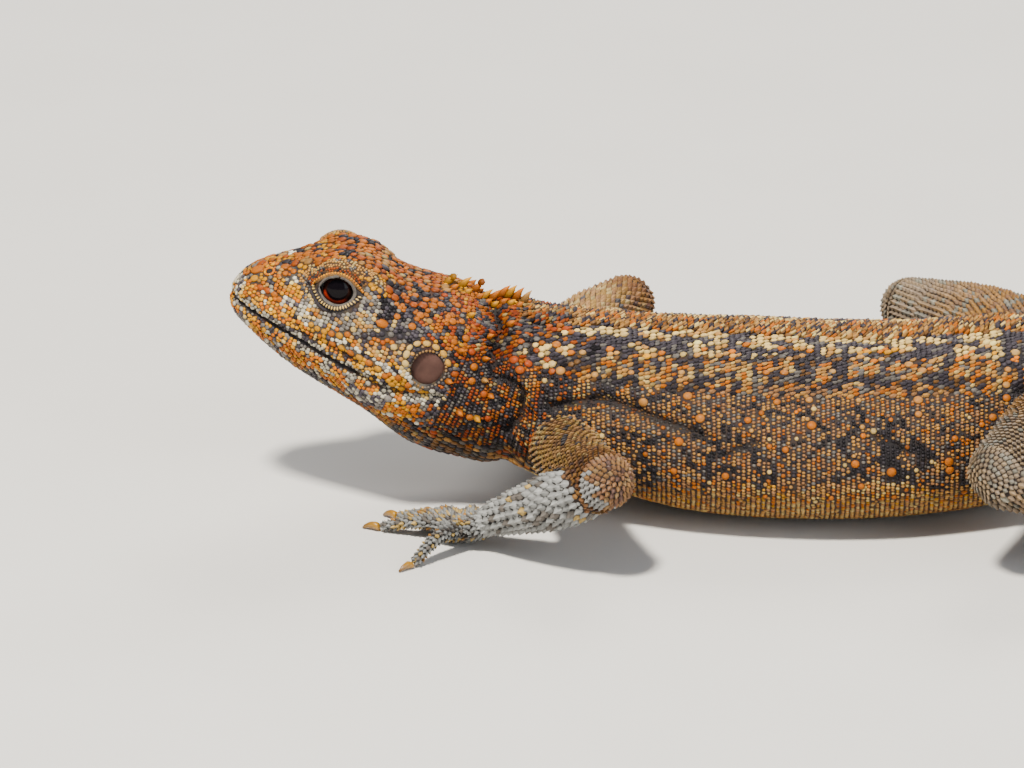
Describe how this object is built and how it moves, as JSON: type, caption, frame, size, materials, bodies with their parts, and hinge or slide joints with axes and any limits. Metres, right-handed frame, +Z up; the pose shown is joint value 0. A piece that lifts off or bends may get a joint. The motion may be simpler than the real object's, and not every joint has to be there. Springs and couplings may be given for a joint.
{
  "type": "western netted dragon",
  "caption": "Life-size still model of a western netted dragon lizard lying on its belly, head raised, legs flexed, long tail in a slow curve on the floor.",
  "frame": {"origin": "On the flat of the belly, at the middle of the body's width, on the floor.", "axes": "+X runs from the head towards the tail, +Z is up, so the animal's left side is at -Y."},
  "size_m": [0.2282, 0.1006, 0.0302],
  "materials": {
    "skin_head": "orange scaly skin, matte",
    "skin_neck": "red-orange and grey scaly skin, matte",
    "skin_body": "netted grey, cream and orange scaly skin, matte",
    "skin_tail": "grey-brown keeled scales, matte",
    "skin_arm": "ochre keeled scales, matte",
    "skin_hand": "pale grey keeled scales, matte",
    "skin_leg": "brown-grey keeled scales, matte",
    "skin_foot": "pale grey-brown keeled scales, matte",
    "eye": "wet, glossy",
    "tympanum": "smooth drum skin, satin",
    "claw": "amber horn, satin"
  },
  "bodies": {
    "root": {"head": "skin_head", "neck": "skin_neck", "torso": "skin_body", "tail_base": "skin_tail", "tail_middle": "skin_tail", "tail_tip": "skin_tail", "eye_left": "eye", "tympanum_left": "tympanum", "upper_arm_left": "skin_arm", "forearm_left": "skin_hand", "hand_left": "skin_hand", "thigh_left": "skin_leg", "shin_left": "skin_leg", "foot_left": "skin_foot", "finger_claw_left_1": "claw", "finger_claw_left_2": "claw", "finger_claw_left_3": "claw", "finger_claw_left_4": "claw", "finger_claw_left_5": "claw", "toe_claw_left_1": "claw", "toe_claw_left_2": "claw", "toe_claw_left_3": "claw", "toe_claw_left_4": "claw", "toe_claw_left_5": "claw", "eye_right": "eye", "tympanum_right": "tympanum", "upper_arm_right": "skin_arm", "forearm_right": "skin_hand", "hand_right": "skin_hand", "thigh_right": "skin_leg", "shin_right": "skin_leg", "foot_right": "skin_foot", "finger_claw_right_1": "claw", "finger_claw_right_2": "claw", "finger_claw_right_3": "claw", "finger_claw_right_4": "claw", "finger_claw_right_5": "claw", "toe_claw_right_1": "claw", "toe_claw_right_2": "claw", "toe_claw_right_3": "claw", "toe_claw_right_4": "claw", "toe_claw_right_5": "claw"}
  },
  "joints": []
}
